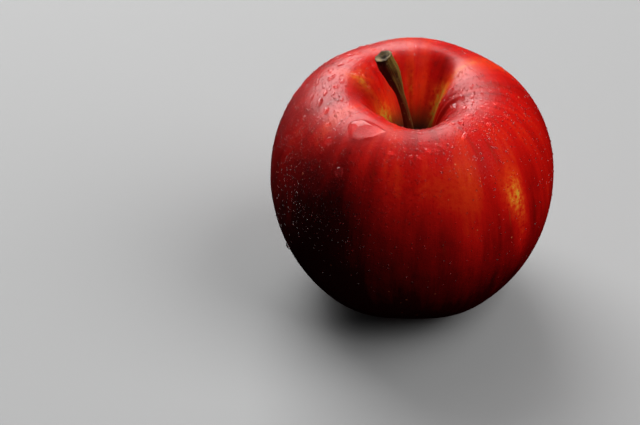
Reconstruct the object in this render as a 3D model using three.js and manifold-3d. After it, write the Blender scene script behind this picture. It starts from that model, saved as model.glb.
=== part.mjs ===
/**
 * An apple as picked: the fruit, its woody stem, and the dried flower left in the basin underneath,
 * which is five sepals around a tuft of stamens.
 *
 * Millimetres, +Z up. The origin is on the stem's axis at the height of the surface that the fruit
 * stands on. Angles run about +Z from +X, and -Y is the front.
 *
 * The fruit is a section turned about Z and pushed in and out by five lobes. A place on the section
 * is a station, from 0 to 4: the cavity floor at the stem, the shoulder's crest, the widest place,
 * the foot, and the basin floor at the calyx.
 */
import * as THREE from 'three';
import * as BufferGeometryUtils from 'three/addons/utils/BufferGeometryUtils.js';
import Module from 'manifold-3d';

const wasm = await Module();
wasm.setup();

// ---------------------------------------------------------------- driving dimensions

const FRUIT = {
	radius: 37.4, // at the widest place
	widestAt: 33.0, // height of the widest place
	crestRadius: 18.4, // ring of the shoulder's highest points
	crestHeight: 63.0,
	cavityFloor: 45.0, // height of the floor that the stem stands on
	footRadius: 12.8, // ring of the lobes that it stands on
	press: 0.4, // how much of each lobe's tip is flattened
	basinFloor: 10.0 // height of the floor that the calyx hangs from
};

// Lengths of the section's tangents, which say how full each round stretch is.
const FULLNESS = {
	cavityLip: 9.0,
	cavityThroat: 9.0,
	cavityThroatRise: 0.6,
	shoulderTop: 11.6,
	shoulderSide: 16.0,
	bellySide: 16.0,
	bellyFoot: 11.2,
	basinLip: 5.0,
	basinFloor: 7.0
};

const LOBES = {
	count: 5,
	at: THREE.MathUtils.degToRad( 18 ), // one lobe's direction
	skew: 0.22, // how unevenly they are spaced, in radians of the lobe wave
	cavity: 0.05, // share of the cavity's radius
	crest: 0.3, // height of a lobe on the shoulder
	body: 0.35, // radius of a lobe at the widest place
	foot: 0.75 // height of the hollows between the feet, halved
};

// Where the cavity's wall stands in towards the stem (or out, below 0): direction and half width in
// degrees, and the share of the radius.
const CAVITY_FOLDS = [
	{ at: 5, halfWidth: 60, push: 0.3 },
	{ at: 64, halfWidth: 32, push: - 0.14 },
	{ at: 270, halfWidth: 60, push: - 0.08 }
];

const SHOULDER_TILT = 1.2; // the back of the shoulder is this much higher, the front lower
const SHOULDER_TILT_AT = THREE.MathUtils.degToRad( 115 );
const OVAL = 0.2; // the widest place is this much wider along X than along Y

const FRUIT_SIDES = 70;
const FRUIT_STEPS = [ 12, 10, 12, 9 ]; // rings between one station and the next

const GAP = 0.3; // between a piece and the fruit that it grows from

const STEM = {
	foot: 1.5, // radii from the foot to the cut
	waist: 1.0,
	knob: 2.35,
	rounding: 1.3, // height of the foot's rounded end
	length: 28.8,
	sides: 14,
	steps: 26
};

const SEPAL = {
	count: 5,
	width: 2.3, // across the base
	thickness: 0.5,
	sides: 8,
	steps: 9
};

const STAMENS = {
	count: 6,
	domeRadius: 0.8,
	domeHeight: 0.7,
	length: 2.6,
	thickness: 0.28,
	ring: 0.45, // radius of the ring that they stand on
	lean: 0.06 // outwards, in radians
};

// ---------------------------------------------------------------- helpers

/** Rises from 0 to 1 and falls again, smoothly, within half a width of its middle. */
function bump( x, middle, halfWidth ) {

	const d = Math.min( Math.abs( x - middle ) / halfWidth, 1 );
	return ( 1 - d * d ) ** 2;

}

/** A closed skin over rings of equal length, which turn anticlockwise seen from the end point. */
function loft( start, rings, end ) {

	const sides = rings[ 0 ].length;
	const last = rings.length * sides + 1;
	const indices = [];

	for ( let side = 0; side < sides; side ++ ) {

		const next = ( side + 1 ) % sides;
		indices.push( 0, 1 + next, 1 + side );

		for ( let ring = 1; ring < rings.length; ring ++ ) {

			const below = 1 + ( ring - 1 ) * sides;
			const above = below + sides;
			indices.push( below + side, below + next, above + next );
			indices.push( below + side, above + next, above + side );

		}

		indices.push( last - sides + side, last - sides + next, last );

	}

	const geometry = new THREE.BufferGeometry();
	geometry.setFromPoints( [ start, ...rings.flat(), end ] );
	geometry.setIndex( indices );
	geometry.computeVertexNormals();
	return geometry;

}

/** Rings of points around a curve. The shape gives each ring's half width and half thickness. */
function ringsAlong( curve, steps, sides, widthAxis, shape ) {

	const rings = [];

	for ( let step = 0; step <= steps; step ++ ) {

		const t = step / steps;
		const centre = curve.getPointAt( t );
		const tangent = curve.getTangentAt( t );
		const across = widthAxis.clone().addScaledVector( tangent, - widthAxis.dot( tangent ) ).normalize();
		const through = new THREE.Vector3().crossVectors( tangent, across );
		const ring = [];

		for ( let side = 0; side < sides; side ++ ) {

			const angle = 2 * Math.PI * side / sides;
			const [ halfWidth, halfThickness ] = shape( t, angle );
			const point = centre.clone();
			point.addScaledVector( across, halfWidth * Math.cos( angle ) );
			point.addScaledVector( through, halfThickness * Math.sin( angle ) );
			ring.push( point );

		}

		rings.push( ring );

	}

	return rings;

}

/** The solid of a closed geometry, for joining. */
function solidOf( geometry ) {

	const bare = geometry.clone();
	bare.deleteAttribute( 'normal' );
	bare.deleteAttribute( 'uv' );
	const merged = BufferGeometryUtils.mergeVertices( bare, 1e-5 );
	return new wasm.Manifold( new wasm.Mesh( {
		numProp: 3,
		vertProperties: Float32Array.from( merged.attributes.position.array ),
		triVerts: Uint32Array.from( merged.index.array )
	} ) );

}

/** The geometry of a solid. */
function geometryOf( solid ) {

	const mesh = solid.getMesh();
	const geometry = new THREE.BufferGeometry();
	geometry.setAttribute( 'position', new THREE.BufferAttribute( mesh.vertProperties, 3 ) );
	geometry.setIndex( new THREE.BufferAttribute( mesh.triVerts, 1 ) );
	geometry.computeVertexNormals();
	return geometry;

}

// ---------------------------------------------------------------- fruit

/** The section's four stretches, from station 0 at the stem to station 4 at the calyx. */
function fruitSection() {

	const { radius, widestAt, crestRadius, crestHeight, cavityFloor, footRadius, press, basinFloor } = FRUIT;
	const point = ( r, z ) => new THREE.Vector2( r, z );
	const cavity = new THREE.CubicBezierCurve(
		point( 0, cavityFloor ),
		point( FULLNESS.cavityThroat, cavityFloor + FULLNESS.cavityThroatRise ),
		point( crestRadius - FULLNESS.cavityLip, crestHeight ),
		point( crestRadius, crestHeight )
	);
	const shoulder = new THREE.CubicBezierCurve(
		point( crestRadius, crestHeight ),
		point( crestRadius + FULLNESS.shoulderTop, crestHeight ),
		point( radius, widestAt + FULLNESS.shoulderSide ),
		point( radius, widestAt )
	);
	const belly = new THREE.CubicBezierCurve(
		point( radius, widestAt ),
		point( radius, widestAt - FULLNESS.bellySide ),
		point( footRadius + FULLNESS.bellyFoot, - press ),
		point( footRadius, - press )
	);
	const basin = new THREE.CubicBezierCurve(
		point( footRadius, - press ),
		point( footRadius - FULLNESS.basinLip, - press ),
		point( FULLNESS.basinFloor, basinFloor ),
		point( 0, basinFloor )
	);
	return [ cavity, shoulder, belly, basin ];

}

const SECTION = fruitSection();

/** How far the folds push the cavity's wall in at an angle about Z, as a share of its radius. */
function foldPush( angle ) {

	return CAVITY_FOLDS.reduce( ( push, fold ) => {

		const turn = THREE.MathUtils.radToDeg( angle ) - fold.at;
		const shortest = turn - 360 * Math.round( turn / 360 );
		return push + fold.push * bump( shortest, 0, fold.halfWidth );

	}, 0 );

}

/** The fruit's surface at a station of its section and an angle about Z. */
function fruitPoint( station, angle ) {

	const stretch = Math.min( Math.floor( station ), SECTION.length - 1 );
	const onSection = SECTION[ stretch ].getPoint( station - stretch );

	const fromLobe = angle - LOBES.at;
	const lobe = Math.cos( LOBES.count * fromLobe + LOBES.skew * Math.sin( fromLobe ) );
	const tilt = SHOULDER_TILT * Math.cos( angle - SHOULDER_TILT_AT );

	const cavityShare = 1 - ( LOBES.cavity * lobe + foldPush( angle ) ) * bump( station, 0.55, 0.55 );
	const swell = ( LOBES.body * lobe + OVAL * Math.cos( 2 * angle ) ) * bump( station, 2, 1 );
	const crestRise = ( LOBES.crest * lobe + tilt ) * bump( station, 1, 0.95 );
	const footRise = LOBES.foot * ( 1 - lobe ) * bump( station, 3, 0.7 );

	const r = onSection.x * cavityShare + swell;
	const z = Math.max( onSection.y + crestRise + footRise, 0 );
	return new THREE.Vector3( r * Math.cos( angle ), r * Math.sin( angle ), z );

}

/** The rings lie closer together near the stations, so each foot's small flat has rings of its own. */
function fruitGeometry() {

	const stations = [];
	FRUIT_STEPS.forEach( ( steps, stretch ) => {

		for ( let step = 0; step < steps; step ++ ) {

			stations.push( stretch + THREE.MathUtils.smoothstep( step / steps, 0, 1 ) );

		}

	} );

	const rings = stations.slice( 1 ).reverse().map( ( station ) =>
		Array.from( { length: FRUIT_SIDES }, ( _, side ) =>
			fruitPoint( station, 2 * Math.PI * side / FRUIT_SIDES ) ) );
	return loft( fruitPoint( SECTION.length, 0 ), rings, fruitPoint( 0, 0 ) );

}

// ---------------------------------------------------------------- stem

/** The stem leans to the left as it leaves the cavity, and ends in a thicker knob, cut across. */
function stemGeometry() {

	const foot = FRUIT.cavityFloor + GAP;
	const curve = new THREE.CatmullRomCurve3( [
		new THREE.Vector3( - 0.4, 0, foot ),
		new THREE.Vector3( - 1.4, 0.1, foot + 7 ),
		new THREE.Vector3( - 2.9, 0.1, foot + 13 ),
		new THREE.Vector3( - 5.1, - 0.1, foot + 19.5 ),
		new THREE.Vector3( - 8.2, - 0.6, foot + 27 )
	] );
	const flare = STEM.foot - STEM.waist;
	const swelling = STEM.knob - STEM.waist;
	const rings = ringsAlong( curve, STEM.steps, STEM.sides, new THREE.Vector3( 0, 1, 0 ), ( t, angle ) => {

		const round = Math.sqrt( Math.min( t * STEM.length / STEM.rounding + 0.08, 1 ) );
		const radius = STEM.waist + flare * ( 1 - t ) ** 5
			+ swelling * THREE.MathUtils.smoothstep( t, 0.5, 0.9 )
			+ 0.07 * Math.sin( 3 * angle + 9 * t );
		return [ radius * round, radius * round ];

	} );
	return loft( curve.getPointAt( 0 ), rings, curve.getPointAt( 1 ) );

}

// ---------------------------------------------------------------- calyx

/** A pointed sepal: it hangs from the basin floor, closes towards the axis and curls out again. */
function sepalGeometry( angle ) {

	const place = ( r, drop ) => new THREE.Vector3(
		r * Math.cos( angle ),
		r * Math.sin( angle ),
		FRUIT.basinFloor - drop
	);
	const curve = new THREE.CatmullRomCurve3( [
		place( 2.9, 1.6 ),
		place( 2.2, 2.4 ),
		place( 1.75, 3.3 ),
		place( 2.0, 4.3 ),
		place( 3.1, 5.0 )
	] );
	const tangential = new THREE.Vector3( - Math.sin( angle ), Math.cos( angle ), 0 );
	const rings = ringsAlong( curve, SEPAL.steps, SEPAL.sides, tangential, ( t ) => {

		const taper = 1 - 0.85 * t ** 1.3;
		return [ SEPAL.width / 2 * taper, SEPAL.thickness / 2 * ( 1 - 0.6 * t ) ];

	} );
	return loft( curve.getPointAt( 0 ), rings, curve.getPointAt( 1 ) );

}

/** The dried stamens: short threads that hang from a small dome on the basin floor. */
function stamensGeometry() {

	const { domeRadius, domeHeight, length, thickness, ring, lean } = STAMENS;
	const top = FRUIT.basinFloor - GAP;
	const dome = new THREE.LatheGeometry( [
		new THREE.Vector2( 0, - domeHeight ),
		new THREE.Vector2( domeRadius * 0.7, - domeHeight * 0.75 ),
		new THREE.Vector2( domeRadius, - domeHeight * 0.2 ),
		new THREE.Vector2( domeRadius * 0.8, 0 ),
		new THREE.Vector2( 0, 0 )
	], 14 );
	dome.rotateX( Math.PI / 2 );
	let tuft = solidOf( dome );

	for ( let i = 0; i < STAMENS.count; i ++ ) {

		const thread = new THREE.CylinderGeometry( thickness / 2, thickness / 3, length, 6 );
		thread.rotateX( Math.PI / 2 );
		thread.translate( 0, 0, - length / 2 - domeHeight / 2 );
		thread.rotateY( - lean );
		thread.translate( ring, 0, 0 );
		thread.rotateZ( 2 * Math.PI * i / STAMENS.count );
		tuft = tuft.add( solidOf( thread ) );

	}

	return geometryOf( tuft ).translate( 0, 0, top );

}

// ---------------------------------------------------------------- the apple

const skin = new THREE.MeshStandardMaterial( { color: 0xa3170f, roughness: 0.3, metalness: 0 } );
const bark = new THREE.MeshStandardMaterial( { color: 0x5c4a24, roughness: 0.8, metalness: 0 } );
const driedLeaf = new THREE.MeshStandardMaterial( { color: 0x54432c, roughness: 0.95, metalness: 0 } );
const driedThread = new THREE.MeshStandardMaterial( { color: 0x33271a, roughness: 0.95, metalness: 0 } );

function part( name, geometry, material ) {

	const mesh = new THREE.Mesh( geometry, material );
	mesh.name = name;
	return mesh;

}

const group = new THREE.Group();
group.add( part( 'fruit', fruitGeometry(), skin ) );
group.add( part( 'stem', stemGeometry(), bark ) );
group.add( part( 'stamens', stamensGeometry(), driedThread ) );

for ( let i = 0; i < SEPAL.count; i ++ ) {

	const angle = LOBES.at + 2 * Math.PI * ( i + 0.5 ) / SEPAL.count;
	group.add( part( `sepal_${ i + 1 }`, sepalGeometry( angle ), driedLeaf ) );

}

export default group;
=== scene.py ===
"""The looks of the apple: skin, stem, dried calyx and the water on the skin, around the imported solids.

Lengths are millimetres up to new_object, which turns them into metres. The lights, the camera and the
size of the floor are in metres. Angles in the tables run about +Z from +X, in degrees, and -Y is the
front. A place on the fruit is a station (0 cavity floor, 1 shoulder crest, 2 widest place, 3 foot,
4 basin floor) and an angle, as in the part's own source.
"""

import math
import random

import bpy
import numpy as np
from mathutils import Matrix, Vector, noise
from mathutils.bvhtree import BVHTree


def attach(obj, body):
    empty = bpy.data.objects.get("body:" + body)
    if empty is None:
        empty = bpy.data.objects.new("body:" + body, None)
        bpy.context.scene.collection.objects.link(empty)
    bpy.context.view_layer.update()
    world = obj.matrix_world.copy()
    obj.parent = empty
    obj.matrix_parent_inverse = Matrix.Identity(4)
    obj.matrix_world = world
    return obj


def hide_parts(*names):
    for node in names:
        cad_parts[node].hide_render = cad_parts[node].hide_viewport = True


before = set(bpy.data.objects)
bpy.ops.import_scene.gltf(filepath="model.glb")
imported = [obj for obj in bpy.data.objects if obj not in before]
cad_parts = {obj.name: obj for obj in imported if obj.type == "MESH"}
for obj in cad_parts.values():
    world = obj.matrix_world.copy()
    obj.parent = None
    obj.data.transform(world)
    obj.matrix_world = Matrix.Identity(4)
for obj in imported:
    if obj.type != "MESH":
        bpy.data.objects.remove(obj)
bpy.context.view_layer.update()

MM = 0.001
BODY = "root"

# ---------------------------------------------------------------- the fruit's form

RADIUS, WIDEST_AT = 37.4, 33.0
CREST_RADIUS, CREST_HEIGHT = 18.4, 63.0
FOOT_RADIUS, PRESS = 12.8, 0.4
CAVITY_FLOOR, BASIN_FLOOR = 45.0, 10.0

# Lengths of the section's tangents, which say how full each round stretch is.
THROAT, THROAT_RISE, CAVITY_LIP = 9.0, 0.6, 9.0
SHOULDER_TOP, SHOULDER_SIDE = 11.6, 16.0
BELLY_SIDE, BELLY_FOOT = 16.0, 11.2
BASIN_LIP, BASIN_THROAT = 5.0, 7.0

# Places on the section, as (radius, height). Each stretch is a Bezier curve from one to the next.
STEM_END, CREST = (0, CAVITY_FLOOR), (CREST_RADIUS, CREST_HEIGHT)
SIDE, FOOT = (RADIUS, WIDEST_AT), (FOOT_RADIUS, -PRESS)
CALYX_END = (0, BASIN_FLOOR)
SECTION = np.array([
    [STEM_END, (THROAT, CAVITY_FLOOR + THROAT_RISE), (CREST_RADIUS - CAVITY_LIP, CREST_HEIGHT), CREST],
    [CREST, (CREST_RADIUS + SHOULDER_TOP, CREST_HEIGHT), (RADIUS, WIDEST_AT + SHOULDER_SIDE), SIDE],
    [SIDE, (RADIUS, WIDEST_AT - BELLY_SIDE), (FOOT_RADIUS + BELLY_FOOT, -PRESS), FOOT],
    [FOOT, (FOOT_RADIUS - BASIN_LIP, -PRESS), (BASIN_THROAT, BASIN_FLOOR), CALYX_END],
])
LAST_STATION = float(len(SECTION))

LOBE_COUNT, LOBE_AT, LOBE_SKEW = 5, math.radians(18), 0.22
LOBE_CAVITY, LOBE_CREST, LOBE_BODY, LOBE_FOOT = 0.05, 0.3, 0.35, 0.75
CAVITY_FOLDS = ((5, 60, 0.30), (64, 32, -0.14), (270, 60, -0.08))  # direction, half width, push inwards
TILT, TILT_AT = 1.2, math.radians(115)  # the back of the shoulder is this much higher, the front lower
OVAL = 0.2  # the widest place is this much wider along X than along Y

# Where the lobes and the tilt act: the station in the middle of each, and its reach.
CAVITY_SPAN, CREST_SPAN, BODY_SPAN, FOOT_SPAN = (0.55, 0.55), (1, 0.95), (2, 1), (3, 0.7)

AROUND = 336  # points in a ring
STEPS = (64, 60, 72, 44)  # rings between one station and the next
SKIN_STEP, DROP_STEP = 0.003, 0.004  # for tangents, in stations and radians, on each side of the place


def bump(x, middle, half_width):
    """Rises from 0 to 1 and falls again, smoothly."""
    d = np.minimum(np.abs(x - middle) / half_width, 1)
    return (1 - d * d) ** 2


def smoothstep(x, low, high):
    t = np.clip((x - low) / (high - low), 0, 1)
    return t * t * (3 - 2 * t)


def degrees_from(angle, degrees):
    """The signed turn, in degrees, from a direction in degrees to angles in radians."""
    return np.degrees(np.angle(np.exp(1j * (np.asarray(angle) - math.radians(degrees)))))


def fruit_surface(station, angle):
    """Points of the fruit in millimetres, for arrays of stations and of angles in radians."""
    station, angle = np.broadcast_arrays(np.asarray(station, float), np.asarray(angle, float))
    stretch = np.clip(np.floor(station).astype(int), 0, len(SECTION) - 1)
    t = (station - stretch)[..., None]
    a, b, c, d = (SECTION[stretch, k] for k in range(4))
    on_section = (1 - t) ** 3 * a + 3 * (1 - t) ** 2 * t * b + 3 * (1 - t) * t ** 2 * c + t ** 3 * d
    from_lobe = angle - LOBE_AT
    lobe = np.cos(LOBE_COUNT * from_lobe + LOBE_SKEW * np.sin(from_lobe))
    fold = sum(push * bump(degrees_from(angle, at), 0, half_width) for at, half_width, push in CAVITY_FOLDS)
    cavity_share = 1 - (LOBE_CAVITY * lobe + fold) * bump(station, *CAVITY_SPAN)
    swell = (LOBE_BODY * lobe + OVAL * np.cos(2 * angle)) * bump(station, *BODY_SPAN)
    crest_rise = (LOBE_CREST * lobe + TILT * np.cos(angle - TILT_AT)) * bump(station, *CREST_SPAN)
    foot_rise = LOBE_FOOT * (1 - lobe) * bump(station, *FOOT_SPAN)
    r = on_section[..., 0] * cavity_share + swell
    z = np.maximum(on_section[..., 1] + crest_rise + foot_rise, 0)
    return np.stack([r * np.cos(angle), r * np.sin(angle), z], -1)


def fruit_tangents(station, angle, step):
    """The directions down the meridian and around, of no particular length."""
    down = fruit_surface(station + step, angle) - fruit_surface(station - step, angle)
    around = fruit_surface(station, angle + step) - fruit_surface(station, angle - step)
    return down, around


def fruit_frame(station, angle):
    """A point of the fruit with its outward normal and its two tangents, down the meridian and around."""
    down, around = (Vector(tangent).normalized() for tangent in fruit_tangents(station, angle, DROP_STEP))
    return Vector(fruit_surface(station, angle)), down.cross(around).normalized(), down, around


# ---------------------------------------------------------------- curve and mesh helpers

CURVE_SAMPLES = 60  # between one given point and the next, before they are evened out


def unit(vectors):
    return vectors / np.linalg.norm(vectors, axis=-1, keepdims=True)


def lengths_along(points):
    """How far along a polyline each of its points lies."""
    steps = np.linalg.norm(np.diff(points, axis=0), axis=1)
    return np.concatenate([[0], np.cumsum(steps)])


def catmull_rom(points, count):
    """Points evenly spaced along a smooth curve through the given ones."""
    guide = [2 * points[0] - points[1], *points, 2 * points[-1] - points[-2]]
    t = np.linspace(0, 1, CURVE_SAMPLES, endpoint=False)[:, None]
    dense = []
    for a, b, c, d in zip(guide, guide[1:], guide[2:], guide[3:]):
        squared = (2 * a - 5 * b + 4 * c - d) * t * t
        cubed = (3 * b - a - 3 * c + d) * t ** 3
        dense.extend(0.5 * (2 * b + (c - a) * t + squared + cubed))
    dense = np.array([*dense, points[-1]])
    run = lengths_along(dense)
    even = np.linspace(0, run[-1], count)
    return np.stack([np.interp(even, run, dense[:, k]) for k in range(3)], -1)


def new_object(name, points, faces):
    """A smooth mesh object from points in millimetres."""
    mesh = bpy.data.meshes.new(name)
    mesh.from_pydata([tuple(MM * c for c in p) for p in points], [], faces)
    mesh.update()
    mesh.shade_smooth()
    obj = bpy.data.objects.new(name, mesh)
    bpy.context.scene.collection.objects.link(obj)
    return obj


def loft_faces(rings, sides, first=0):
    """Faces over a start point, rings of equal length and an end point, numbered in that order."""
    last = first + 1 + rings * sides
    faces = []
    for side in range(sides):
        after = (side + 1) % sides
        faces.append((first, first + 1 + after, first + 1 + side))
        for ring in range(rings - 1):
            below = first + 1 + ring * sides
            above = below + sides
            faces.append((below + side, below + after, above + after, above + side))
        faces.append((last - sides + side, last - sides + after, last))
    return faces


def point_attribute(obj, name, kind, values):
    attribute = obj.data.attributes.new(name, kind, "POINT")
    field = "vector" if kind == "FLOAT_VECTOR" else "value"
    attribute.data.foreach_set(field, np.ascontiguousarray(values, np.float32).ravel())


# ---------------------------------------------------------------- material helpers

# Sockets of the Mix node that belong to colours.
MIX_FACTOR, MIX_A, MIX_B, MIX_RESULT = 0, 6, 7, 2


class Nodes:
    """Adds nodes to a material, with inputs given as values or as sockets of other nodes."""

    def __init__(self, name):
        self.material = bpy.data.materials.new(name)
        self.material.use_nodes = True
        self.tree = self.material.node_tree
        self.tree.nodes.clear()

    def add(self, kind, inputs=None, **settings):
        node = self.tree.nodes.new("ShaderNode" + kind)
        for key, value in settings.items():
            setattr(node, key, value)
        for key, value in (inputs or {}).items():
            socket = node.inputs[key]
            if isinstance(value, bpy.types.NodeSocket):
                self.tree.links.new(value, socket)
            else:
                socket.default_value = value
        return node

    def math(self, operation, a, b=0.0, clamp=False):
        return self.add("Math", {0: a, 1: b}, operation=operation, use_clamp=clamp).outputs[0]

    def total(self, *terms):
        """The sum of (socket, factor) pairs and plain numbers."""
        result = 0.0
        for term in terms:
            socket, factor = term if isinstance(term, tuple) else (term, 1.0)
            result = self.add("Math", {0: socket, 1: factor, 2: result}, operation="MULTIPLY_ADD").outputs[0]
        return result

    def attribute(self, name):
        return self.add("Attribute", attribute_name=name)

    def noise(self, vector, scale, detail=3.0, roughness=0.5, distortion=0.0):
        inputs = {"Vector": vector, "Scale": scale, "Detail": detail, "Roughness": roughness}
        inputs["Distortion"] = distortion
        return self.add("TexNoise", inputs).outputs["Fac"]

    def cells(self, vector, scale):
        return self.add("TexVoronoi", {"Vector": vector, "Scale": scale, "Randomness": 1.0}).outputs

    def bump(self, height, strength, distance):
        inputs = {"Height": height, "Strength": strength, "Distance": distance}
        return self.add("Bump", inputs).outputs[0]

    def map_range(self, value, low, high, to_low=0.0, to_high=1.0, smooth=True):
        kind = "SMOOTHSTEP" if smooth else "LINEAR"
        inputs = {"Value": value, "From Min": low, "From Max": high, "To Min": to_low, "To Max": to_high}
        return self.add("MapRange", inputs, interpolation_type=kind).outputs["Result"]

    def scaled(self, vector, factors):
        return self.add("VectorMath", {0: vector, 1: factors}, operation="MULTIPLY").outputs[0]

    def ramp(self, value, stops):
        """A colour for a value, from stops of (position, colour)."""
        node = self.add("ValToRGB", {"Fac": value})
        elements = node.color_ramp.elements
        while len(elements) < len(stops):
            elements.new(1.0)
        for element, (position, colour) in zip(elements, stops):
            element.position = position
            element.color = (*colour, 1)
        return node.outputs["Color"]

    def mix(self, factor, a, b):
        """Colour a where the factor is 0 and colour b where it is 1."""
        inputs = {MIX_FACTOR: factor}
        for index, colour in ((MIX_A, a), (MIX_B, b)):
            inputs[index] = (*colour, 1) if isinstance(colour, tuple) else colour
        return self.add("Mix", inputs, data_type="RGBA").outputs[MIX_RESULT]

    def cover(self, colour, amount, opacity, over):
        """The colour with another over it, where the amount, thinned by the opacity, is above 0."""
        return self.mix(self.math("MULTIPLY", amount, opacity, clamp=True), colour, over)

    def finish(self, **inputs):
        """The Principled shader and the output."""
        shader = self.add("BsdfPrincipled", {key.replace("_", " "): value for key, value in inputs.items()})
        self.add("OutputMaterial", {"Surface": shader.outputs[0]})
        return self.material


# ---------------------------------------------------------------- skin

# Where the yellow ground colour shows through the red: station, angle, reach along and around, strength.
GROUND_PATCHES = (
    (1.66, -43, 0.15, 5.5, 0.26),  # the stippled patch on the right flank
    (1.85, -40, 0.28, 4.0, 0.18),  # and its tail
    (1.52, -64, 0.22, 13, 0.07),   # the mottled area right of the middle
    (1.50, -90, 0.24, 18, 0.12),   # the lighter middle of the front
    (1.25, -25, 0.40, 20, 0.06),   # the warmer right shoulder
    (0.84, 165, 0.20, 15, 0.26),   # the wedge on the left of the cavity
    (0.98, 42, 0.28, 9, 0.15),     # the orange ridge on the right of the back shoulder
    (0.45, 44, 0.22, 20, 0.56),    # the green streak up the right wall of the cavity
    (0.38, 165, 0.17, 28, 0.42),   # the streaks up its left wall
    (0.55, 97, 0.26, 9, 0.16),     # the orange streaks beside the stem on its back wall
    (0.60, 76, 0.24, 7, 0.10),
    (1.50, -160, 0.22, 5, 0.16),   # flecks on the left shoulder
    (1.30, -143, 0.16, 5, 0.15),
    (3.75, 20, 0.55, 90, 0.50),    # around the calyx
    (3.75, 200, 0.55, 90, 0.50),
    (1.55, 100, 0.45, 16, 0.20),   # the back
    (2.30, 60, 0.60, 12, 0.20),
)
# Where the red is deepest: partly the skin's own deeper blush and partly painted shade, over the left and
# the foot of the front, the left side and the cavity's back wall.
DEEP_RED_AND_SHADE_PATCHES = (
    (2.15, -136, 0.75, 38, 0.90),  # the left of the front
    (1.72, -120, 0.30, 13, 0.55),
    (2.60, -95, 0.50, 45, 0.55),   # the foot of the front
    (2.45, -50, 0.45, 28, 0.55),
    (0.72, 60, 0.30, 20, 0.10),    # the back wall of the cavity
    (2.10, 175, 0.90, 25, 0.30),
)

# How far the skin stands out of the plain form, in millimetres.
DENTS = ((0.22, 17.0), (0.05, 5.5))  # slow dents: depth and size
DENTS_BEGIN, DENTS_END = (0.1, 0.5), (2.6, 2.9)  # the stations over which they set in and fade
RIBS = ((0.10, 17, 1.3, 3), (0.06, 31, 2.0, 2))  # ribs in the cavity: depth, count, sway and its count
RIBS_SPAN = (0.5, 0.5)

MERIDIAN_SAMPLES = 401

# From the bare ground to the deepest red.
SKIN_COLOURS = (
    (0.00, (0.36, 0.27, 0.030)),
    (0.16, (0.64, 0.30, 0.025)),
    (0.32, (0.68, 0.12, 0.010)),
    (0.46, (0.60, 0.026, 0.004)),
    (0.60, (0.47, 0.004, 0.002)),
    (0.78, (0.24, 0.001, 0.001)),
    (1.00, (0.060, 0.0005, 0.001)),
)
LENTICEL = (0.66, 0.17, 0.07)
THROAT_GREEN = (0.11, 0.045, 0.006)
# The rusty brown at the cavity's floor, darkened to near black by painted shade.
THROAT_RUSSET_AND_SHADE = (0.022, 0.007, 0.002)
BASIN_OCHRE = (0.24, 0.15, 0.03)

# Patterns in the skin, from coarse to fine: scale, detail and roughness. The streaks run from stem to
# calyx, so theirs also have a distortion and how much slower they change along the meridian.
BROAD, STREAK, THREAD = (3.4, 3, 0.5, 0.3, 0.22), (12, 4, 0.6, 0.35, 0.13), (46, 3, 0.6, 0.3, 0.10)
CLOUD, FLECK, GRAIN = (110, 4, 0.6), (620, 3, 0.65), (1500, 2, 0.6)
FRECKLE_SCALE, FRECKLE_EDGE, FRECKLE_SHARES = 760.0, (0.08, 0.34), (0.40, 1.10)
LENTICEL_SCALE, LENTICEL_CHOICE, LENTICEL_SIZES = 260.0, (0.15, 1.0), (0.02, 0.10)
LENTICEL_CORE, LENTICEL_EDGE, LENTICEL_OPACITY = 0.55, 0.03, 0.75

# The stations over which a colour sets in.
LENTICELS_AT, LOWER_HALF_SHADE_AT, BASIN_OCHRE_AT = (0.9, 1.35), (1.2, 2.6), (3.35, 3.95)
THROAT_GREEN_AT, THROAT_RUSSET_AND_SHADE_AT = (0.52, 0.22), (0.42, 0.14)
# How much deeper the red turns towards the foot: painted shade of the lower half.
LOWER_HALF_PAINTED_SHADE = 0.20

SKIN_BUMP, SKIN_IOR = (0.22, 0.00025), 1.42  # strength, and distance in metres
SUBSURFACE, SUBSURFACE_RADIUS, SUBSURFACE_SCALE = 0.05, (1.0, 0.15, 0.08), 0.002


def patches(station, angle, table):
    """The sum of a table's patches at each place."""
    total = np.zeros(np.broadcast(station, angle).shape)
    for at, degrees, along, around, strength in table:
        turn = degrees_from(angle, degrees)
        total += strength * np.exp(-((station - at) / along) ** 2 - (turn / around) ** 2)
    return total


def relief(points, station, angle):
    """How far the skin stands out of the plain form, in millimetres."""
    dents = np.array([
        sum(depth * noise.noise(Vector(p) / size) for depth, size in DENTS)
        for p in points.reshape(-1, 3)
    ]).reshape(station.shape)
    on_body = smoothstep(station, *DENTS_BEGIN) * (1 - smoothstep(station, *DENTS_END))
    ribs = sum(
        depth * np.cos(count * angle + sway * np.sin(sways * angle))
        for depth, count, sway, sways in RIBS
    )
    return dents * on_body + ribs * bump(station, *RIBS_SPAN)


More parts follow.
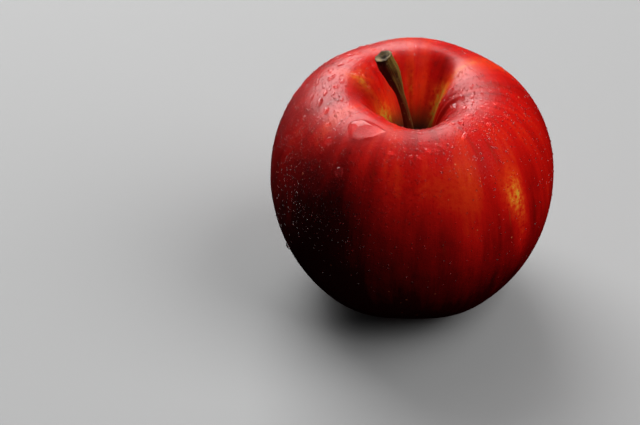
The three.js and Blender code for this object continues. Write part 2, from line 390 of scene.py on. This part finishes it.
def build_fruit():
    """The skin as rings from the basin's floor to the cavity's, with the patches stored at its points."""
    stations = np.concatenate([k + np.arange(n) / n for k, n in enumerate(STEPS)])[1:][::-1]
    station, angle = np.meshgrid(stations, np.arange(AROUND) * 2 * np.pi / AROUND, indexing="ij")
    plain = fruit_surface(station, angle)
    normal = unit(np.cross(*fruit_tangents(station, angle, SKIN_STEP)))
    points = plain + normal * relief(plain, station, angle)[..., None]
    points[..., 2] = np.maximum(points[..., 2], 0)

    rows = [fruit_surface(LAST_STATION, 0.0)[None], points.reshape(-1, 3), fruit_surface(0.0, 0.0)[None]]
    fruit = new_object("fruit_skin", np.concatenate(rows), loft_faces(len(stations), AROUND))

    flat_station = np.concatenate([[LAST_STATION], station.ravel(), [0.0]])
    flat_angle = np.concatenate([[0.0], angle.ravel(), [0.0]])
    samples = np.linspace(0, LAST_STATION, MERIDIAN_SAMPLES)
    along = np.interp(flat_station, samples, lengths_along(fruit_surface(samples, 0.0))) / RADIUS
    meridian = np.stack([np.cos(flat_angle), np.sin(flat_angle), along], -1)
    point_attribute(fruit, "meridian", "FLOAT_VECTOR", meridian)
    point_attribute(fruit, "station", "FLOAT", flat_station)
    point_attribute(fruit, "ground", "FLOAT", patches(flat_station, flat_angle, GROUND_PATCHES))
    point_attribute(fruit, "deep", "FLOAT", patches(flat_station, flat_angle, DEEP_RED_AND_SHADE_PATCHES))
    add_unrolled_map(fruit, stations)
    return fruit


def add_unrolled_map(fruit, stations):
    """A map of the skin unrolled about Z, for tools that paint it: around is u, and calyx to stem is v."""
    heights = np.concatenate([[0.0], 1 - stations / LAST_STATION, [1.0]])
    layer = fruit.data.uv_layers.new(name="OFBake")
    corners = np.empty(len(fruit.data.loops), int)
    fruit.data.loops.foreach_get("vertex_index", corners)
    starts = np.empty(len(fruit.data.polygons), int)
    totals = np.empty(len(fruit.data.polygons), int)
    fruit.data.polygons.foreach_get("loop_start", starts)
    fruit.data.polygons.foreach_get("loop_total", totals)
    face = np.repeat(np.arange(len(starts)), totals)

    last = len(fruit.data.vertices) - 1
    pole = (corners == 0) | (corners == last)
    row = np.where(corners == last, len(stations) + 1, (corners - 1) // AROUND + 1)
    u = (corners - 1) % AROUND / AROUND

    # The last faces around end at u = 1, and a face at a pole has its corner there in its own middle.
    widest = np.zeros(len(starts))
    np.maximum.at(widest, face, np.where(pole, 0, u))
    u = np.where((u == 0) & (widest[face] > 0.5), 1.0, u)
    side = np.arange(len(starts)) // (len(stations) + 1)
    u = np.where(pole, (side[face] + 0.5) / AROUND, u)
    layer.data.foreach_set("uv", np.stack([u, heights[row]], -1).astype(np.float32).ravel())


def lenticels(n, place, station):
    """Where the pale corky dots are, a few millimetres apart and of different sizes."""
    cells = n.cells(place, LENTICEL_SCALE)
    chosen = n.add("SeparateColor", {"Color": cells["Color"]}).outputs[0]
    size = n.map_range(chosen, *LENTICEL_CHOICE, *LENTICEL_SIZES, smooth=False)
    past_core = n.math("SUBTRACT", cells["Distance"], n.math("MULTIPLY", size, LENTICEL_CORE))
    dot = n.map_range(past_core, 0.0, LENTICEL_EDGE, 1.0, 0.0)
    on_body = n.map_range(station, *LENTICELS_AT)
    return n.math("MULTIPLY", dot, n.math("MULTIPLY", on_body, LENTICEL_OPACITY))


def skin_material():
    """Streaked red over a yellow ground, with lenticels, green and rusty brown at the two ends, and painted
    shade: deeper red low down, in patches and in the cavity.
    """
    n = Nodes("apple_skin")
    meridian = n.attribute("meridian").outputs["Vector"]
    place = n.add("TexCoord").outputs["Object"]
    station = n.attribute("station").outputs["Fac"]
    ground = n.attribute("ground").outputs["Fac"]
    # The deep patches: the skin's own deeper blush together with painted shade.
    deep = n.attribute("deep").outputs["Fac"]

    broad, streak, thread = (
        n.noise(n.scaled(meridian, (1, 1, slower)), *settings)
        for *settings, slower in (BROAD, STREAK, THREAD)
    )
    cloud, fleck, grain = (n.noise(place, *settings) for settings in (CLOUD, FLECK, GRAIN))

    # The ground shows through in streaks and in fine dots, so both thin the patches.
    thin = n.total((streak, 1.6), (thread, 1.6), (fleck, 3.2), (cloud, 0.6), -2.4)
    from_freckle = n.cells(place, FRECKLE_SCALE)["Distance"]
    between_freckles = n.map_range(from_freckle, *FRECKLE_EDGE, *FRECKLE_SHARES)
    showing = n.math("MULTIPLY", n.math("MULTIPLY", ground, thin), between_freckles)
    # Painted shade: the red deepens over the lower half and in the deep patches.
    lower_half_shade = n.map_range(station, *LOWER_HALF_SHADE_AT, 0.0, LOWER_HALF_PAINTED_SHADE)
    redness = n.total(
        (broad, 0.42), (streak, 0.30), (thread, 0.12), (cloud, 0.20), (fleck, 0.10),
        (deep, 0.36), (lower_half_shade, 1.0), (showing, -0.85), 0.03,
    )
    colour = n.ramp(redness, SKIN_COLOURS)
    dot = lenticels(n, place, station)
    colour = n.mix(dot, colour, LENTICEL)

    # Green, then a near-black brown low in the cavity, the skin's rusty brown darkened by painted shade, and
    # ochre in the basin.
    throat = n.total((n.map_range(station, *THROAT_GREEN_AT), 1.0), (streak, 1.0), -0.62)
    colour = n.cover(colour, throat, 0.70, THROAT_GREEN)
    russet_and_shade = n.total((n.map_range(station, *THROAT_RUSSET_AND_SHADE_AT), 1.4), (cloud, 0.6), -0.35)
    colour = n.cover(colour, russet_and_shade, 0.95, THROAT_RUSSET_AND_SHADE)
    basin = n.total((n.map_range(station, *BASIN_OCHRE_AT), 1.1), (streak, 0.9), -0.6)
    colour = n.cover(colour, basin, 0.8, BASIN_OCHRE)

    roughness = n.total((cloud, 0.10), (fleck, 0.12), (dot, 0.12), 0.26)
    height = n.total((grain, 0.8), (fleck, 0.9), (dot, 1.2), (thread, 0.5))
    return n.finish(
        Base_Color=colour, Roughness=roughness, Normal=n.bump(height, *SKIN_BUMP), IOR=SKIN_IOR,
        Subsurface_Weight=SUBSURFACE, Subsurface_Radius=SUBSURFACE_RADIUS,
        Subsurface_Scale=SUBSURFACE_SCALE,
    )


# ---------------------------------------------------------------- stem

STEM_GAP = 0.3  # between the solids of the stem and of the fruit
STEM_FOOT = CAVITY_FLOOR + STEM_GAP
STEM_ROUTE = ((-0.4, 0, 0), (-1.4, 0.1, 7), (-2.9, 0.1, 13), (-5.1, -0.1, 19.5), (-8.2, -0.6, 27))
STEM_SINK = 0.64  # how far its foot reaches down, past the gap and into the cavity's floor
STEM_WAIST, STEM_FLARE, STEM_KNOB = 1.0, 0.5, 1.35
STEM_FLARE_POWER, STEM_KNOB_SPAN = 5, (0.5, 0.9)
STEM_RINGS, STEM_SIDES = 170, 56
STEM_TIP = 0.2  # the foot's middle below its first ring

# The stem's flutes: depth, count and turn from foot to cut.
FLUTE_DEPTH, FLUTE_COUNT, FLUTE_TURN = 0.07, 3, 9
# Uneven bark: share of the radius, how fine around and along, twist, and where along its noise begins.
BARK = (
    (0.10, 3.1, 2.2, 0.5, 0),  # ridges
    (0.05, 9.0, 5.0, 0.5, 0),  # fibres
    (0.10, 1.2, 9.0, 0.0, 4),  # knots
)
# The cut, inwards from the stem's last ring: share of the radius, and rise. First a raised rim, then a pit.
CUT_RINGS = ((0.93, 0.16), (0.80, 0.20), (0.66, 0.05), (0.50, -0.12), (0.34, -0.22), (0.18, -0.55))
CUT_PIT = -0.7
CUT_ROUGHNESS, CUT_AROUND, CUT_INWARDS = 0.28, 2.2, 3
CUT_RUN = 0.2  # the cut takes the bark's run along the stem, 0 to 1, on to 1.2

# The bark from its painted shade, nearly black, to its own olive under painted light.
STEM_BARK_SHADE_TO_LIGHT = (
    (0.15, (0.012, 0.006, 0.003)),
    (0.42, (0.034, 0.016, 0.005)),
    (0.66, (0.085, 0.052, 0.010)),
    (0.95, (0.175, 0.115, 0.024)),
)
STEM_RED, STEM_FOOT_BROWN, STEM_SPECK = (0.075, 0.014, 0.004), (0.030, 0.016, 0.005), (0.32, 0.24, 0.11)
WOOD, WOOD_PIT, WOOD_STAIN = (0.24, 0.16, 0.06), (0.030, 0.017, 0.007), (0.050, 0.028, 0.010)
# The shares of the bark's run over which a colour sets in.
STEM_RED_AT, STEM_FOOT_AT, WOOD_AT, WOOD_PIT_AT = (0.78, 0.42), (0.28, 0.05), (1.0, 1.02), (1.06, 1.16)
BARK_FIBRE, BARK_SPECK, BARK_CLOUD = (9, 4, 0.6, 0.4), (1500, 3, 0.6), (420, 3, 0.5)
BARK_STRETCH = (1, 1, 0.9)
STEM_BUMP, STEM_IOR = (0.6, 0.0003), 1.45


def noise_around(angle, reach, along):
    """Noise that closes up around the stem; a longer reach makes it finer."""
    return noise.noise(Vector((reach * math.cos(angle), reach * math.sin(angle), along)))


def stem_radius(t, a):
    """The radius at a share of the way up and an angle about the centre line."""
    plain = STEM_WAIST + STEM_FLARE * (1 - t) ** STEM_FLARE_POWER
    plain += STEM_KNOB * smoothstep(t, *STEM_KNOB_SPAN)
    fluted = plain + FLUTE_DEPTH * math.sin(FLUTE_COUNT * a + FLUTE_TURN * t)
    uneven = 1
    for share, around, along, twist, begin in BARK:
        uneven += share * noise_around(a + twist * t, around, along * t + begin)
    return fluted * uneven


def build_stem():
    """A ridged, slightly twisted stem whose cut end is a ragged rim around a small pit."""
    centre = catmull_rom([np.array(p, float) + (0, 0, STEM_FOOT) for p in STEM_ROUTE], STEM_RINGS)
    centre[:, 2] -= STEM_SINK * np.linspace(1, 0, STEM_RINGS) ** 2
    tangent = unit(np.gradient(centre, axis=0))
    angles = np.linspace(0, 2 * np.pi, STEM_SIDES, endpoint=False)
    points = [centre[0] - (0, 0, STEM_TIP)]
    bark = [(1, 0, 0)]
    for middle, axis, t in zip(centre, tangent, np.linspace(0, 1, STEM_RINGS)):
        across = unit(np.array((0, 1, 0)) - axis * axis[1])
        through = np.cross(axis, across)
        for a in angles:
            r = stem_radius(t, a)
            points.append(middle + across * r * math.cos(a) + through * r * math.sin(a))
            bark.append((math.cos(a), math.sin(a), t))

    rim = np.array(points[-STEM_SIDES:])
    middle = rim.mean(axis=0)
    for share, rise in CUT_RINGS:
        for a, on_rim in zip(angles, rim):
            rough = CUT_ROUGHNESS * share * noise_around(a, CUT_AROUND, CUT_INWARDS * share)
            points.append(middle + (on_rim - middle) * share + tangent[-1] * (rise + rough))
            bark.append((math.cos(a), math.sin(a), 1 + CUT_RUN * (1 - share)))
    points.append(middle + tangent[-1] * CUT_PIT)
    bark.append((1, 0, 1 + CUT_RUN))
    stem = new_object("stem_bark", points, loft_faces(STEM_RINGS + len(CUT_RINGS), STEM_SIDES))
    point_attribute(stem, "bark", "FLOAT_VECTOR", bark)
    return stem


def stem_material():
    """Nearly black, painted shade, where it turns left; olive bark under painted light where it turns right;
    red lower down, wood at the cut.
    """
    n = Nodes("apple_stem")
    bark = n.attribute("bark").outputs["Vector"]
    place = n.add("TexCoord").outputs["Object"]
    along = n.add("SeparateXYZ", {"Vector": bark}).outputs[2]
    facing = n.add("SeparateXYZ", {"Vector": n.add("NewGeometry").outputs["Normal"]}).outputs[0]
    fibre = n.noise(n.scaled(bark, BARK_STRETCH), *BARK_FIBRE)
    speck = n.noise(place, *BARK_SPECK)
    cloud = n.noise(place, *BARK_CLOUD)
    # Painted light and shade: lighter where the normal turns right, towards the key light, darker where it
    # turns left.
    painted_light_and_shade = n.total((facing, 0.75), (fibre, 0.8), (cloud, 0.4), -0.40)
    colour = n.ramp(painted_light_and_shade, STEM_BARK_SHADE_TO_LIGHT)
    low = n.total((n.map_range(along, *STEM_RED_AT), 1.0), (fibre, 0.6), -0.25)
    colour = n.cover(colour, low, 0.8, STEM_RED)
    colour = n.cover(colour, n.map_range(along, *STEM_FOOT_AT), 0.7, STEM_FOOT_BROWN)
    colour = n.mix(n.map_range(speck, 0.62, 0.72, 0.0, 0.5), colour, STEM_SPECK)
    wood = n.mix(n.map_range(along, *WOOD_PIT_AT), WOOD, WOOD_PIT)
    wood = n.mix(n.map_range(cloud, 0.42, 0.60, 0.0, 0.85), wood, WOOD_STAIN)
    colour = n.mix(n.map_range(along, *WOOD_AT), colour, wood)
    height = n.total((fibre, 1.0), (speck, 0.35), (cloud, 0.4))
    roughness = n.total((speck, 0.25), 0.55)
    return n.finish(Base_Color=colour, Roughness=roughness, Normal=n.bump(height, *STEM_BUMP), IOR=STEM_IOR)


# ---------------------------------------------------------------- dried calyx

SEPAL_ROUTE = ((2.9, 1.2), (2.2, 2.4), (1.75, 3.3), (2.0, 4.3), (3.1, 5.0))  # radius, depth in the basin
SEPAL_ROWS, SEPAL_COLUMNS = 26, 15
SEPAL_HALF_WIDTH, SEPAL_TAPER, SEPAL_TAPER_POWER = 1.2, 0.88, 1.3
SEPAL_WAVE, SEPAL_WAVE_TURN = 0.08, 11
SEPAL_THICKNESS, SEPAL_THIN_TIP, SEPAL_THIN_EDGE = 0.26, 0.6, 0.75
SEPAL_FOLD, SEPAL_FOLD_POWER, SEPAL_UNFOLD = 0.22, 1.5, 0.4
SEPAL_WRINKLE, WRINKLES_ACROSS, WRINKLES_ALONG = 0.10, 3, 7
SEPAL_NOISE_STEP = 5.7  # so that no two sepals wrinkle alike

STAMEN_COUNT, STAMEN_SEED = 17, 11
STAMEN_ROUTE = ((0, 0), (0.6, 0.5), (0.9, 1))  # shares of its lean and of its length
STAMEN_TURN = 2.4  # radians from one stamen to the next, near the golden angle
STAMEN_SPACING, STAMEN_LEAN, STAMEN_SUNK = 0.13, 0.09, 0.1
STAMEN_LEANS, STAMEN_LENGTHS = (0.5, 1.1), (2.3, 3.3)
STAMEN_RADIUS, STAMEN_TAPER, STAMEN_TIP = 0.085, 0.02, 0.05
ANTHER, ANTHER_AT, ANTHER_REACH = 0.09, 0.9, 0.08
STAMEN_SIDES, STAMEN_RINGS = 8, 12

CALYX_FIBRE, CALYX_CLOUD, CALYX_STRETCH = (1900, 4, 0.65), (500, 3, 0.5), (1, 1, 0.35)
CALYX_BUMP, CALYX_ROUGHNESS, CALYX_SHEEN = (0.7, 0.0002), 0.9, 0.3
LEAF_DARK, LEAF_LIGHT = (0.035, 0.020, 0.010), (0.200, 0.150, 0.080)
THREAD_DARK, THREAD_LIGHT = (0.020, 0.012, 0.007), (0.110, 0.070, 0.035)


def sepal_section(index, t):
    """Half the width and the thickness of a sepal, at a share of its length."""
    wave = 1 - SEPAL_WAVE + SEPAL_WAVE * math.sin(SEPAL_WAVE_TURN * t + index)
    half_width = SEPAL_HALF_WIDTH * (1 - SEPAL_TAPER * t ** SEPAL_TAPER_POWER) * wave
    return half_width, SEPAL_THICKNESS * (1 - SEPAL_THIN_TIP * t)


def sepal_faces():
    """Faces over points numbered by row, column and sheet: the two sheets of a sepal and its edges."""
    last_row, last_column = SEPAL_ROWS - 1, SEPAL_COLUMNS - 1

    def at(row, column, sheet):
        return 2 * (row * SEPAL_COLUMNS + column) + sheet

    faces = []
    for i in range(last_row):
        for j in range(last_column):
            faces.append([at(i, j, 0), at(i, j + 1, 0), at(i + 1, j + 1, 0), at(i + 1, j, 0)])
            faces.append([at(i, j, 1), at(i + 1, j, 1), at(i + 1, j + 1, 1), at(i, j + 1, 1)])
    for i in range(last_row):
        for j in (0, last_column):
            wall = [at(i, j, 0), at(i + 1, j, 0), at(i + 1, j, 1), at(i, j, 1)]
            faces.append(wall if j == 0 else wall[::-1])
    for j in range(last_column):
        for i in (0, last_row):
            wall = [at(i, j, 0), at(i, j, 1), at(i, j + 1, 1), at(i, j + 1, 0)]
            faces.append(wall if i == 0 else wall[::-1])
    return faces


def build_sepal(index):
    """A dried sepal: pointed, folded along its midrib, wavy at its edges and curled out at the tip."""
    angle = LOBE_AT + 2 * math.pi * (index + 0.5) / LOBE_COUNT
    out = np.array((math.cos(angle), math.sin(angle), 0))
    side = np.array((-math.sin(angle), math.cos(angle), 0))
    route = [out * r + np.array((0, 0, BASIN_FLOOR - drop)) for r, drop in SEPAL_ROUTE]
    centre = catmull_rom(route, SEPAL_ROWS)
    faces_out = np.cross(side, unit(np.gradient(centre, axis=0)))
    points = []
    for middle, face, t in zip(centre, faces_out, np.linspace(0, 1, SEPAL_ROWS)):
        half_width, thickness = sepal_section(index, t)
        for s in np.linspace(-1, 1, SEPAL_COLUMNS):
            place = Vector((WRINKLES_ACROSS * s, WRINKLES_ALONG * t, SEPAL_NOISE_STEP * index))
            wrinkle = SEPAL_WRINKLE * noise.noise(place)
            fold = SEPAL_FOLD * abs(s) ** SEPAL_FOLD_POWER * (1 - SEPAL_UNFOLD * t) + wrinkle
            spot = middle + side * half_width * s + face * fold
            edge = thickness * (1 - SEPAL_THIN_EDGE * s * s)
            points += [spot - face * edge / 2, spot + face * edge / 2]
    return new_object(f"dried_sepal_{index + 1}", points, sepal_faces())


def build_stamens():
    """A tuft of dry threads, each ending in a small knob."""
    draw = random.Random(STAMEN_SEED)
    points, faces = [], []
    for i in range(STAMEN_COUNT):
        out = np.array((math.cos(STAMEN_TURN * i), math.sin(STAMEN_TURN * i), 0))
        root = out * STAMEN_SPACING * math.sqrt(i) + (0, 0, BASIN_FLOOR + STAMEN_SUNK)
        lean = out * STAMEN_LEAN * math.sqrt(i) * draw.uniform(*STAMEN_LEANS)
        length = draw.uniform(*STAMEN_LENGTHS)
        route = [root + lean * sideways - (0, 0, down * length) for sideways, down in STAMEN_ROUTE]
        centre = catmull_rom(route, STAMEN_RINGS)
        first = len(points)
        points.append(centre[0] + (0, 0, STAMEN_TIP))
        for middle, t in zip(centre, np.linspace(0, 1, STAMEN_RINGS)):
            knob = ANTHER * math.exp(-((t - ANTHER_AT) / ANTHER_REACH) ** 2)
            radius = STAMEN_RADIUS - STAMEN_TAPER * t + knob
            for side in range(STAMEN_SIDES):
                a = -2 * math.pi * side / STAMEN_SIDES
                points.append(middle + radius * np.array((math.cos(a), math.sin(a), 0)))
        points.append(centre[-1] - (0, 0, STAMEN_TIP))
        faces += loft_faces(STAMEN_RINGS, STAMEN_SIDES, first)
    return new_object("dried_stamens", points, faces)


def calyx_material(name, dark, light):
    """Dry and fibrous, in two browns."""
    n = Nodes(name)
    place = n.add("TexCoord").outputs["Object"]
    fibre = n.noise(n.scaled(place, CALYX_STRETCH), *CALYX_FIBRE)
    cloud = n.noise(place, *CALYX_CLOUD)
    colour = n.ramp(n.total((fibre, 0.8), (cloud, 0.5), -0.15), ((0.25, dark), (0.75, light)))
    return n.finish(
        Base_Color=colour, Roughness=CALYX_ROUGHNESS, Normal=n.bump(fibre, *CALYX_BUMP),
        Sheen_Weight=CALYX_SHEEN,
    )


# ---------------------------------------------------------------- water

# Drops given one by one: station, angle, half length, half width, height, the turn of the long axis from
# the meridian, and how pointed the end along that axis is.
DROPS = (
    (1.11, -122, 5.0, 3.0, 1.90, 113, 1.0),  # the long drop on the cavity's left lip
    (1.48, -124, 1.35, 1.2, 0.95, 10, 0.2),
    (1.33, -137, 1.25, 1.1, 0.75, 30, 0.2),
    (1.24, -145, 0.85, 0.8, 0.55, 60, 0.0),
    (1.20, -166, 1.70, 0.85, 0.60, 60, 0.3),
    (1.18, -156, 1.35, 0.75, 0.55, 60, 0.2),
    (1.26, -174, 1.30, 0.62, 0.45, 65, 0.3),
    (1.32, 172, 1.00, 0.55, 0.45, 60, 0.2),
    (1.36, -163, 0.95, 0.55, 0.45, 70, 0.2),
    (1.42, -176, 0.90, 0.50, 0.40, 70, 0.2),
    (1.14, -172, 1.10, 0.55, 0.40, 65, 0.2),
    (1.10, 173, 1.35, 0.75, 0.55, 55, 0.2),
    (1.08, 157, 1.05, 0.55, 0.40, 60, 0.2),
    (1.20, 158, 0.90, 0.50, 0.40, 60, 0.2),
    (1.10, 142, 1.25, 0.60, 0.45, 60, 0.2),
    (1.05, -176, 0.80, 0.65, 0.50, 20, 0.0),
    (0.90, 113, 1.10, 0.60, 0.45, 90, 0.0),
    (0.72, -12, 2.00, 0.90, 0.65, 115, 0.3),  # on the cavity's right wall
    (0.75, 18, 1.20, 0.60, 0.45, 30, 0.2),
    (0.82, -4, 1.30, 0.80, 0.60, 100, 0.2),
    (0.86, -24, 0.90, 0.60, 0.45, 80, 0.0),
    (0.92, 8, 0.90, 0.50, 0.40, 60, 0.2),
    (1.00, -50, 0.85, 0.80, 0.55, 0, 0.0),
    (1.13, -56, 1.50, 0.55, 0.40, 125, 0.2),
    (2.22, -153, 1.00, 0.85, 0.55, 0, 0.0),
)
# The beads: how many, their smallest and largest radii, the station below which none of them lies, and
# their height as a share of the radius.
BEADS = {
    "coarse": (90, 0.40, 0.70, 1.26, 0.50),
    "medium": (420, 0.24, 0.40, 1.60, 0.60),
    "fine": (2300, 0.14, 0.27, 2.20, 0.80),
}
# Where the beads lie: station, angle, reach along and around, share of the places that hold one.
WET_PATCHES = (
    (1.18, -174, 0.32, 40, 0.95),  # the left shoulder
    (1.08, -105, 0.20, 40, 0.90),  # the front lip
    (0.85, -20, 0.35, 35, 0.90),  # the cavity's right side
    (1.62, -134, 0.30, 30, 1.00),  # the upper left of the front
    (1.20, -30, 0.35, 40, 0.14),  # the right shoulder
    (1.00, 100, 0.25, 50, 0.25),  # the back shoulder
    (1.90, -60, 0.60, 60, 0.08),
    (1.60, 60, 0.60, 70, 0.08),
)

FINE_DROP = 0.3
# A drop's detail: the radius below which it holds, the sides, and the rings as shares of the radius.
DROP_DETAIL = (
    (FINE_DROP, 10, (1.0, 0.72, 0.38)),
    (0.8, 18, (1.0, 0.94, 0.80, 0.58, 0.30)),
    (math.inf, 64, (1.0, 0.985, 0.96, 0.92, 0.86, 0.78, 0.68, 0.56, 0.44, 0.31, 0.18, 0.08)),
)
# A drop's outline is uneven in waves: how many around, and how strong.
WAVES = ((2, 1.0), (3, 1.0), (5, 0.6))
UNEVEN_FINE, UNEVEN = 0.03, 0.05
DOME_POWER, TEAR_WIDENING = 2.4, 0.25
RIM_SUNK = 0.03  # the rim lies this far inside the skin
UNDERSIDE_SUNK, UNDERSIDE_SHARE = 0.12, 0.9
SKIN_SEARCH = 6.0  # the skin is looked for this far outside and inside the plain form

WATER_IOR = 1.33

DROP_SEED, BEAD_SEED = 5, 7
BEADS_FROM = 0.55  # the station, on the cavity's wall, where the beads begin
BEAD_CLEARANCE = 1.15  # times the sum of two neighbours' radii
NO_TAIL = 0.0
BEAD_STRETCH, BEAD_TALLNESS, BEAD_TURN = (1.0, 1.8), (0.85, 1.15), (50, 110)


def add_drop(points, faces, skin, station, degrees, half_length, half_width, height, turn, tail, draw):
    """A domed drop whose rim follows the skin; its underside lies just inside the skin.

    The tail narrows the drop towards the end of its long axis: 0 is an oval and 1 is a pointed tear.
    """
    at, normal, down, around = fruit_frame(station, math.radians(degrees))
    turn = math.radians(turn)
    long_axis = down * math.cos(turn) + around * math.sin(turn)
    short_axis = normal.cross(long_axis)
    size = max(half_length, half_width)
    sides, shares = next((sides, shares) for limit, sides, shares in DROP_DETAIL if size < limit)
    phases = [draw.uniform(0, 2 * math.pi) for _ in WAVES]
    uneven = UNEVEN_FINE if size < FINE_DROP else UNEVEN

    def on_skin(share, a):
        """The place on the skin at a share of the way to the rim, in the direction a."""
        waves = sum(
            strength * math.cos(count * a + phase)
            for (count, strength), phase in zip(WAVES, phases)
        )
        taper = abs(math.sin(a / 2)) ** tail * (1 + TEAR_WIDENING * tail)
        across = half_width * math.sin(a) * taper
        out = long_axis * half_length * math.cos(a) + short_axis * across
        flat = at + share * (1 + uneven * waves) * out
        hit = skin.ray_cast((flat + normal * SKIN_SEARCH) * MM, -normal, 2 * SKIN_SEARCH * MM)[0]
        return flat if hit is None else hit / MM

    def add_ring(share, rise):
        for side in range(sides):
            points.append(on_skin(share, 2 * math.pi * side / sides) + normal * rise)

    first = len(points)
    middle = on_skin(0, 0)
    points.append(middle - normal * UNDERSIDE_SUNK)
    add_ring(UNDERSIDE_SHARE, -UNDERSIDE_SUNK)
    for share in shares:
        add_ring(share, height * math.sqrt(1 - share ** DOME_POWER) - RIM_SUNK)
    points.append(middle + normal * (height - RIM_SUNK))
    faces += loft_faces(len(shares) + 1, sides, first)


def build_drops(skin):
    """The drops that are listed one by one."""
    draw = random.Random(DROP_SEED)
    points, faces = [], []
    for drop in DROPS:
        add_drop(points, faces, skin, *drop, draw)
    return new_object("water_drops", points, faces)


def build_beads(skin):
    """Beads thrown over the wet patches, clear of each other and of the drops: one object for each size."""
    draw = random.Random(BEAD_SEED)
    taken = [
        (fruit_frame(station, math.radians(degrees))[0], half_length)
        for station, degrees, half_length, *_ in DROPS
    ]
    beads = {}
    for kind, (count, low, high, lowest, tall) in BEADS.items():
        points, faces = [], []
        made = 0
        while made < count:
            station, angle = draw.uniform(BEADS_FROM, lowest), draw.uniform(-math.pi, math.pi)
            size = draw.uniform(low, high)
            if draw.random() > patches(np.array(station), angle, WET_PATCHES):
                continue
            at = fruit_frame(station, angle)[0]
            if any((at - other).length < BEAD_CLEARANCE * (size + reach) for other, reach in taken):
                continue
            taken.append((at, size))
            stretch = draw.uniform(*BEAD_STRETCH) if size > FINE_DROP else 1.0
            height = size * tall * draw.uniform(*BEAD_TALLNESS)
            turn = draw.uniform(*BEAD_TURN)
            form = size * stretch, size / stretch ** 0.5, height, turn, NO_TAIL
            add_drop(points, faces, skin, station, math.degrees(angle), *form, draw)
            made += 1
        beads[kind] = new_object(f"water_beads_{kind}", points, faces)
    return beads


def water_material():
    """Clear water, which the light passes through."""
    n = Nodes("water")
    return n.finish(Base_Color=(1, 1, 1, 1), Roughness=0.0, IOR=WATER_IOR, Transmission_Weight=1.0)


# ---------------------------------------------------------------- the pieces, and what each one stands for

fruit = build_fruit()
fruit.data.materials.append(skin_material())
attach(fruit, BODY)
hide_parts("fruit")

stem = build_stem()
stem.data.materials.append(stem_material())
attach(stem, BODY)
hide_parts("stem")

leaf_material = calyx_material("dried_leaf", LEAF_DARK, LEAF_LIGHT)
for k in range(LOBE_COUNT):
    sepal = build_sepal(k)
    sepal.data.materials.append(leaf_material)
    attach(sepal, BODY)
    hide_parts(f"sepal_{k + 1}")

stamens = build_stamens()
stamens.data.materials.append(calyx_material("dried_thread", THREAD_DARK, THREAD_LIGHT))
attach(stamens, BODY)
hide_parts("stamens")

skin = BVHTree.FromObject(fruit, bpy.context.evaluated_depsgraph_get())
drops = build_drops(skin)
beads = build_beads(skin)
water = water_material()
for wet in (drops, *beads.values()):
    wet.data.materials.append(water)
    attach(wet, BODY)

# ---------------------------------------------------------------- floor, lights and camera

FLOOR_SIZE, FLOOR_GREY, FLOOR_ROUGHNESS = 8.0, 0.31, 0.7
WORLD_COLOUR, WORLD_STRENGTH = (0.60, 0.62, 0.65, 1), 0.08
CENTRE = Vector((0, 0, WIDEST_AT * MM))  # what the lights look at

# The camera looks down at the fruit, which sits to the right of the picture's middle and a little above.
CAMERA_ELEVATION, CAMERA_DISTANCE, LENS = 36.0, 0.48, 101.3
PAN, DIP = math.radians(2.86), math.radians(1.08)


def build_floor():
    """A plain pale floor, which lights nothing, so the reds stay deep."""
    half = FLOOR_SIZE / 2 / MM
    corners = [(-half, -half, 0), (half, -half, 0), (half, half, 0), (-half, half, 0)]
    floor = new_object("floor", corners, [(0, 1, 2, 3)])
    n = Nodes("pale_floor")
    grey = (FLOOR_GREY, FLOOR_GREY, FLOOR_GREY, 1)
    floor.data.materials.append(n.finish(Base_Color=grey, Roughness=FLOOR_ROUGHNESS))
    floor.visible_glossy = False
    floor.visible_diffuse = False


def area_light(name, azimuth, elevation, distance, size, watts, glossy):
    """A soft light that looks at the fruit; azimuth is counted from the back (+Y) towards +X."""
    a, e = math.radians(azimuth), math.radians(elevation)
    direction = Vector((math.sin(a) * math.cos(e), math.cos(a) * math.cos(e), math.sin(e)))
    data = bpy.data.lights.new(name, "AREA")
    data.shape, data.size, data.size_y = "RECTANGLE", *size
    data.energy = watts
    light = bpy.data.objects.new(name, data)
    light.location = CENTRE + direction * distance
    light.rotation_euler = direction.to_track_quat("Z", "Y").to_euler()
    light.visible_camera = False
    light.visible_glossy = glossy
    bpy.context.scene.collection.objects.link(light)
    return light


def build_world():
    """A dim even light from all around, which the skin doesn't mirror."""
    world = bpy.data.worlds.new("studio")
    bpy.context.scene.world = world
    world.use_nodes = True
    background = world.node_tree.nodes["Background"]
    background.inputs["Color"].default_value = WORLD_COLOUR
    background.inputs["Strength"].default_value = WORLD_STRENGTH
    world.cycles_visibility.glossy = False


def build_camera():
    rise = math.radians(CAMERA_ELEVATION)
    pitch = rise + DIP
    view = Vector((-math.sin(PAN), math.cos(PAN) * math.cos(pitch), -math.cos(PAN) * math.sin(pitch)))
    camera = bpy.data.objects.new("camera", bpy.data.cameras.new("camera"))
    camera.data.lens = LENS
    camera.location = CENTRE + CAMERA_DISTANCE * Vector((0, -math.cos(rise), math.sin(rise)))
    camera.rotation_euler = view.to_track_quat("-Z", "Y").to_euler()
    bpy.context.scene.collection.objects.link(camera)
    bpy.context.scene.camera = camera


build_floor()
# The window is the one light that the skin mirrors: it makes the haze on the shoulders.
area_light("window", azimuth=-26, elevation=40, distance=1.0, size=(0.78, 0.86), watts=13.2, glossy=True)
key = area_light("key", azimuth=103, elevation=48, distance=0.9, size=(0.75, 0.75), watts=9.0, glossy=False)
area_light("sky", azimuth=-10, elevation=58, distance=1.2, size=(1.1, 1.1), watts=3.5, glossy=False)

# The key light passes through the larger drops, so the skin beneath them stays a clear red.
opaque = bpy.data.collections.new("opaque")
for piece in (fruit, stem, beads["medium"], beads["fine"]):
    opaque.objects.link(piece)
key.light_linking.blocker_collection = opaque

build_world()
build_camera()
bpy.context.scene.view_settings.view_transform = "Standard"
